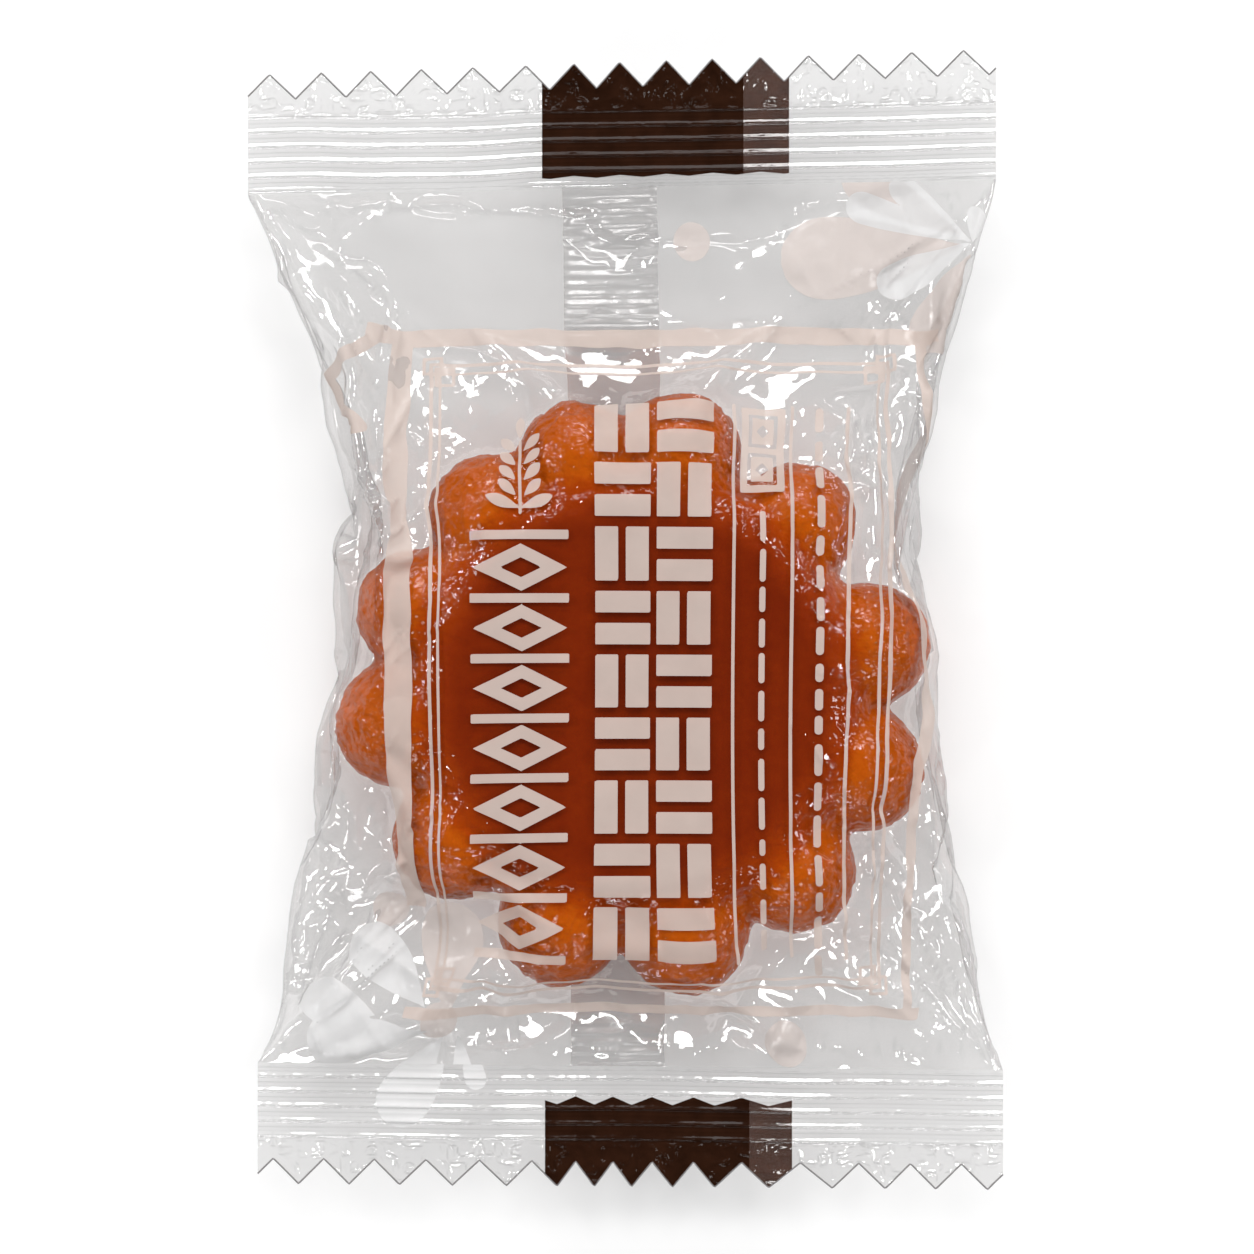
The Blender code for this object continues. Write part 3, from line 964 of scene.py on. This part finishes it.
def petal_field(x, y, foot_x, foot_y, angle, length, width):
    """A flower petal, slim at its foot and widest near its round tip."""
    widest = max(0.5, 1 - 0.55 * width / length)

    def half_width(t):
        rising = np.sin(math.pi / 2 * np.clip(t / widest, 0, 1)) ** 1.15
        falling = np.sqrt(1 - np.clip((t - widest) / (1 - widest), 0, 1) ** 2)
        return width / 2 * np.where(t < widest, rising, falling)

    return leaf_field(x, y, (foot_x, foot_y), angle, length, half_width)


def disc_field(x, y, px, py, radius):
    return np.hypot(x - px, y - py) - radius


def frame_ink(x, y):
    """The pale lines: a hand-drawn outer band, a double inner frame with corner knots, and three rules."""
    wavy = 0.14 * smooth_noise(x, y, 2.2, 31) + 0.25 * smooth_noise(x, y, 10.0, 32)
    wx, wy = x + wavy, y + 0.8 * wavy
    parts = [
        box_field(wx, wy, -21.2, 24.8, 22.9, 24.25),
        box_field(wx, wy, -19.1, -17.5, -24.5, 23.6),
        box_field(wx, wy, -18.4, 24.2, -33.1, -32.3),
        box_field(wx, wy, 23.0, 23.65, -33.0, 23.6),
    ]
    left, right, low, high = -16.3, 21.25, -30.9, 21.55
    parts.append(ring_field(x, y, left, right, low, high, 0.26))
    parts.append(ring_field(x, y, left + 0.65, right - 0.65, low + 0.72, high - 0.72, 0.2))
    corners = ((left, low, 1, 1), (right, low, -1, 1), (left, high, 1, -1), (right, high, -1, -1))
    for cx, cy, sx, sy in corners:
        for step in (-0.5, 0.35):
            ax, ay = cx + sx * step, cy + sy * step
            bx, by = ax + sx * 1.5, ay + sy * 1.5
            parts.append(ring_field(x, y, min(ax, bx), max(ax, bx), min(ay, by), max(ay, by), 0.24))
    # The band's folded-over corner
    parts.append(stroke_field(wx, wy, ((-19.6, 24.0), (-23.7, 20.0), (-20.8, 15.8)), 1.0))
    for rule in (9.4, 14.15, 18.4):
        parts.append(box_field(x, y, rule - 0.14, rule + 0.14, -28.4, 17.8))
    return np.minimum.reduce(parts)


def ear_field(x, y, foot_x, foot_y, pairs):
    """An upright ear of grain: a stalk with slanted grains in pairs and one at its tip."""
    pitch = 1.25
    parts = [stroke_field(x, y, ((foot_x, foot_y - 1.4), (foot_x, foot_y + pairs * pitch - 0.4)), 0.26)]
    for pair in range(pairs):
        for angle, side in ((44, 0.3), (136, -0.3)):
            parts.append(grain_field(x, y, foot_x + side, foot_y + pitch * pair, angle, 1.95, 0.84))
    parts.append(grain_field(x, y, foot_x, foot_y + pitch * pairs - 0.2, 90, 1.9, 0.84))
    return np.minimum.reduce(parts)


def panel_ink(x, y):
    """The bold pale columns: a basket weave, lozenges between bars, and rows of small dashes."""
    parts = []
    cell, left, high = 5.47, -2.95, 18.0
    for row in range(9):
        for column in range(2):
            x0, y1 = left + column * cell, high - row * 5.18
            for bar in range(2):
                if (row + column) % 2:
                    low = y1 - 2.0 - 2.6 * bar
                    parts.append(box_field(x, y, x0 + 0.15, x0 + cell - 0.4, low, low + 1.75))
                else:
                    near = x0 + 0.15 + 2.72 * bar
                    parts.append(box_field(x, y, near, near + 2.05, y1 - 4.6, y1 - 0.25))
    for row in range(7):
        cy = 4.1 - row * 4.9
        lozenge = (np.abs(x + 9.15) / 3.9 + np.abs(y - cy) / 1.9 - 1) * 1.7
        hole = (np.abs(x + 9.15) / 1.7 + np.abs(y - cy) / 0.8 - 1) * 0.7
        parts.append(np.maximum(lozenge, -hole))
        parts.append(box_field(x, y, -13.2, -5.1, cy - 2.85, cy - 2.1))
    parts.append(box_field(x, y, -13.2, -5.1, 6.35, 7.1))
    parts.append(ear_field(x, y, -9.15, 9.9, 4))
    parts.append(grain_field(x, y, -9.15, 8.9, 20, 2.9, 1.0))
    parts.append(grain_field(x, y, -9.15, 8.9, 160, 2.9, 1.0))
    stamp = box_field(x, y, 10.0, 13.6, 10.4, 17.5)
    for low_y in (11.0, 14.2):
        hollow = ring_field(x, y, 10.6, 13.0, low_y, low_y + 2.7, 0.3)
        stamp = np.maximum(stamp, -hollow)
        dot = np.abs(x - 11.8) + np.abs(y - low_y - 1.35) - 0.55
        stamp = np.maximum(stamp, -dot)
    parts.append(stamp)
    rng = np.random.default_rng(4)
    for column, high_y, low_y, width in ((11.8, 8.6, -27.1, 0.5), (16.3, 17.5, -28.6, 0.6)):
        place = high_y
        while place > low_y:
            length = rng.uniform(0.6, 2.2)
            parts.append(stroke_field(x, y, ((column, place), (column, place - length)), width))
            place -= length + width + rng.uniform(0.35, 0.8)
    return np.minimum.reduce(parts)


def white_ink(x, y):
    """White petals of two flowers that the pack's edges cut off."""
    parts = []
    for angle, length, width in ((163, 10.1, 2.7), (209, 8.6, 2.8), (139, 7.6, 2.5), (72, 3.4, 1.6)):
        parts.append(petal_field(x, y, 28.2, 31.5, angle, length, width))
    for foot_x, foot_y, angle, length, width in (
        (-16.3, -32.2, 139, 8.8, 4.0),
        (-20.6, -32.8, 168, 6.8, 3.5),
        (-15.9, -33.9, 186, 10.6, 3.7),
        (-14.6, -34.6, 234, 9.0, 4.5),
        (-13.5, -34.4, 285, 4.9, 1.8),
    ):
        parts.append(petal_field(x, y, foot_x, foot_y, angle, length, width))
    return np.minimum.reduce(parts)


def beige_ink(x, y):
    """Beige petals between the white ones, and three spots."""
    parts = [
        petal_field(x, y, 27.6, 31.2, 187, 14.6, 6.7),
        petal_field(x, y, 27.6, 32.0, 150, 10.5, 4.0),
        petal_field(x, y, 28.0, 30.6, 243, 9.6, 4.2),
        disc_field(x, y, 5.7, 31.4, 1.55),
        disc_field(x, y, 13.0, -35.2, 1.75),
        disc_field(x, y, -20.3, -24.8, 1.4),
        petal_field(x, y, -14.4, -32.6, 97, 9.0, 5.2),
        disc_field(x, y, -15.2, -33.2, 1.5),
    ]
    return np.minimum.reduce(parts)


def print_piece(name, points, out, film, field, material, lift):
    """A printed shape as a thin sheet just over the front film, cut where the field is zero."""
    finer = 2
    row = np.arange(film.along * finer + 1) / finer
    column = np.arange(film.across * finer + 1) / finer
    p = sample(points, row[:, None], column[None])
    away = sample(out, row[:, None], column[None])
    place = layout(points, film, row, column)
    return cut_sheet(name, p + away * lift, field(place[..., 0], place[..., 1]), material)


def seal_print(name, top, limits, field, material, lift):
    """A printed shape over the ribs of a seal, between two limits of x."""
    p = seal_points(top, limits, lift)
    return cut_sheet(name, p, field(p[..., 0], p[..., 1]), material)


def cut_sheet(name, p, f, material):
    """The part of a grid of points where the field f is negative, as a mesh piece."""
    flat_p, flat_f = p.reshape(-1, 3), f.ravel()
    quads = grid_faces(*f.shape)
    inside = (flat_f[quads] < 0).sum(1)
    whole = quads[inside == 4]
    edge = quads[(inside > 0) & (inside < 4)]
    triangles = np.concatenate([edge[:, [0, 1, 2]], edge[:, [0, 2, 3]]])
    count = (flat_f[triangles] < 0).sum(1)
    triangles, count = triangles[count > 0], count[count > 0]
    extra_points, extra_faces = [], []
    made = {}

    def crossing(a, b):
        key = (a, b) if a < b else (b, a)
        if key not in made:
            t = flat_f[a] / (flat_f[a] - flat_f[b])
            made[key] = len(flat_p) + len(extra_points)
            extra_points.append(flat_p[a] + (flat_p[b] - flat_p[a]) * t)
        return made[key]

    full = [tuple(t) for t in triangles[count == 3]]
    for a, b, c in triangles[count < 3]:
        turned = ((a, b, c), (b, c, a), (c, a, b))
        negative = (flat_f[a] < 0, flat_f[b] < 0, flat_f[c] < 0)
        if sum(negative) == 1:
            a, b, c = turned[negative.index(True)]
            full.append((a, crossing(a, b), crossing(a, c)))
        else:
            a, b, c = turned[negative.index(False)]
            ab, ac = crossing(a, b), crossing(a, c)
            full.append((ab, b, c))
            full.append((ab, c, ac))
    faces = np.concatenate([whole[:, [0, 1, 2]], whole[:, [0, 2, 3]], np.array(full, int).reshape(-1, 3)])
    everything = np.concatenate([flat_p, np.array(extra_points).reshape(-1, 3)])
    used, renumbered = np.unique(faces, return_inverse=True)
    return mesh_object(name, everything[used], renumbered.reshape(-1, 3), material)


def layout(points, film, row, column):
    """Where each place of the front film lies in the printed design: its smoothed place seen from above."""
    step, reach = 4, 29
    r, c = np.meshgrid(np.arange(0, film.along + 1, step), np.arange(0, film.across + 1, step), indexing="ij")
    seen = points[r, c][..., :2].reshape(-1, 2)

    def terms(row, column):
        s = row / film.along * 2 - 1
        t = column / film.across * 2 - 1
        return np.stack([s**i * t**j for i in range(5) for j in range(5) if i + j < 6], -1)

    basis = terms(r.ravel(), c.ravel())
    keep = np.abs(seen[:, 0]) < reach
    fit, *_ = np.linalg.lstsq(basis[keep], seen[keep], rcond=None)
    grid_row, grid_column = np.meshgrid(row, column, indexing="ij")
    return terms(grid_row, grid_column) @ fit


# Scene


def build_pack():
    film = make_film()
    points, out = finish_film(film)
    clear = film_material("clear_film", (0.975, 0.97, 0.968), (0.62, 0.61, 0.61), 0.1, 0.05, haze=0.13)
    sealed = film_material("sealed_film", (0.93, 0.925, 0.923), (0.3, 0.29, 0.29), 0.13, 0.08, fine=0.1)
    doubled = film_material("fin_film", (0.99, 0.985, 0.983), (0.72, 0.71, 0.71), 0.28, 0.2, 0.1, 0.42)
    body = grid_piece("film", points, clear, closed=True)
    # Painted shade: the film's tint darkens where it bends sharply, along its creases
    set_attribute(body, "painted_crease_shade", 0.26 * np.clip((bend_of(points, closed=True) - 0.7) / 2.2, 0, 1))
    set_attribute(body, "worn", wear(film, points))
    set_attribute(body, "cling", 0.85 * cling(points))
    set_attribute(body, "wet", wetness(points))
    made = [body, make_cookie()]
    made.append(make_seal("top_seal", True, sealed))
    made.append(make_seal("bottom_seal", False, sealed))
    # Painted shade: a dark grey, partly see-through tube along each seal's cut edge
    edge = ink_material("cut_edge_painted_shade", (0.26, 0.25, 0.25), 0.8, 0.2)
    made.append(make_cut_edge("top_cut_edge", True, edge))
    made.append(make_cut_edge("bottom_cut_edge", False, edge))
    made.append(make_fin(points, out, film, doubled))
    ink = ink_material("pale_ink", (0.65, 0.54, 0.485), 0.74)
    white = ink_material("white_ink", (0.74, 0.735, 0.735), 0.72)
    beige = ink_material("beige_ink", (0.65, 0.57, 0.535), 0.7)
    for name, field, material, lift in (
        ("printed_frame", frame_ink, ink, 0.05),
        ("printed_panel", panel_ink, ink, 0.05),
        ("printed_petals", white_ink, white, 0.045),
        ("printed_leaves", beige_ink, beige, 0.04),
    ):
        made.append(print_piece(name, points, out, film, field, material, lift))
    made.append(seal_print("printed_petal_ends", False, (-28.0, -9.0), white_ink, white, 0.05))
    dark = brown_material("brown_ink", (0.022, 0.008, 0.004), 1.0, 0.08)
    thin = brown_material("thin_brown_ink", (0.05, 0.018, 0.009), 0.95, 0.9)
    # The printed blocks on the seals, as their limits of x and the share of the seal that they leave free
    for name, top, limits, start, material in (
        ("top_block", True, (-6.95, 9.8), 0.1, dark),
        ("top_block_edge", True, (9.8, 13.6), 0.1, thin),
        ("bottom_block", False, (-6.7, 10.3), 0.32, dark),
        ("bottom_block_edge", False, (10.3, 13.85), 0.32, thin),
    ):
        made.append(grid_piece(name, seal_points(top, limits, 0.04, start), material))
    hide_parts("sealed_pack")
    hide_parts("sealed_pack")
    for piece in made:
        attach(piece, "root")


def add_light(name, place, size, radiance):
    """A square softbox of a given brightness, aimed at the pack."""
    data = bpy.data.lights.new(name, "AREA")
    data.shape = "RECTANGLE"
    data.size, data.size_y = size
    data.energy = radiance * math.pi * size[0] * size[1]
    made = bpy.data.objects.new(name, data)
    made.location = place
    made.rotation_euler = (-Vector(place)).to_track_quat("-Z", "Y").to_euler()
    bpy.context.scene.collection.objects.link(made)
    return made


def build_studio():
    bpy.ops.mesh.primitive_plane_add(size=6)
    floor = bpy.context.active_object
    floor.name = "floor"
    floor.data.materials.append(floor_material("white_floor", (0.55, 0.55, 0.55), 0.445))
    world = bpy.data.worlds.new("studio")
    bpy.context.scene.world = world
    world.use_nodes = True
    world.node_tree.nodes["Background"].inputs["Color"].default_value = (1, 1, 1, 1)
    world.node_tree.nodes["Background"].inputs["Strength"].default_value = 0.02
    # Wide soft fills that don't show in the film, the strongest high at the back
    for name, place, size, radiance in (
        ("left_fill", (-0.85, 0.3, 0.72), (0.9, 0.6), 0.35),
        ("right_fill", (0.9, 0.1, 0.68), (0.9, 0.6), 0.3),
        ("back_fill", (0.05, 0.6, 0.95), (1.0, 0.3), 5.5),
        ("front_fill", (-0.1, -0.95, 0.62), (1.1, 0.5), 0.4),
    ):
        add_light(name, place, size, radiance).visible_glossy = False
    # Small bright boxes all round that sparkle in the film's creases and the seals' ribs
    for name, place, size, radiance in (
        ("left_box", (-0.765, 0.27, 0.648), (0.16, 0.2), 22.0),
        ("right_box", (0.81, 0.09, 0.612), (0.15, 0.22), 22.0),
        ("back_box", (0.045, 0.855, 0.54), (0.62, 0.19), 11.0),
        ("front_box", (-0.09, -0.855, 0.558), (0.5, 0.12), 13.5),
        ("back_right_box", (0.55, 0.5, 0.85), (0.11, 0.11), 22.0),
        ("back_left_box", (-0.45, 0.62, 0.8), (0.11, 0.11), 22.0),
        ("front_left_box", (-0.62, -0.5, 0.75), (0.11, 0.11), 22.0),
        ("front_right_box", (0.6, -0.6, 0.7), (0.11, 0.11), 22.0),
    ):
        add_light(name, place, size, radiance)
    camera = bpy.data.cameras.new("camera")
    # The picture is 104.3 mm wide at the height of the seals
    sensor, distance, picture_width = 36, 0.9, 0.1043
    camera.sensor_width = sensor
    camera.lens = sensor * (distance - SEAL_Z * MM) / picture_width
    camera.clip_end = 20
    view = bpy.data.objects.new("camera", camera)
    view.location = (0.00012, -0.00067, distance)
    bpy.context.scene.collection.objects.link(view)
    scene = bpy.context.scene
    scene.camera = view
    scene.view_settings.view_transform = "Standard"
    scene.cycles.transparent_max_bounces = 28
    scene.cycles.max_bounces = 6
    scene.cycles.diffuse_bounces = 3
    scene.cycles.glossy_bounces = 3
    scene.cycles.caustics_reflective = False
    scene.cycles.caustics_refractive = False


build_pack()
build_studio()
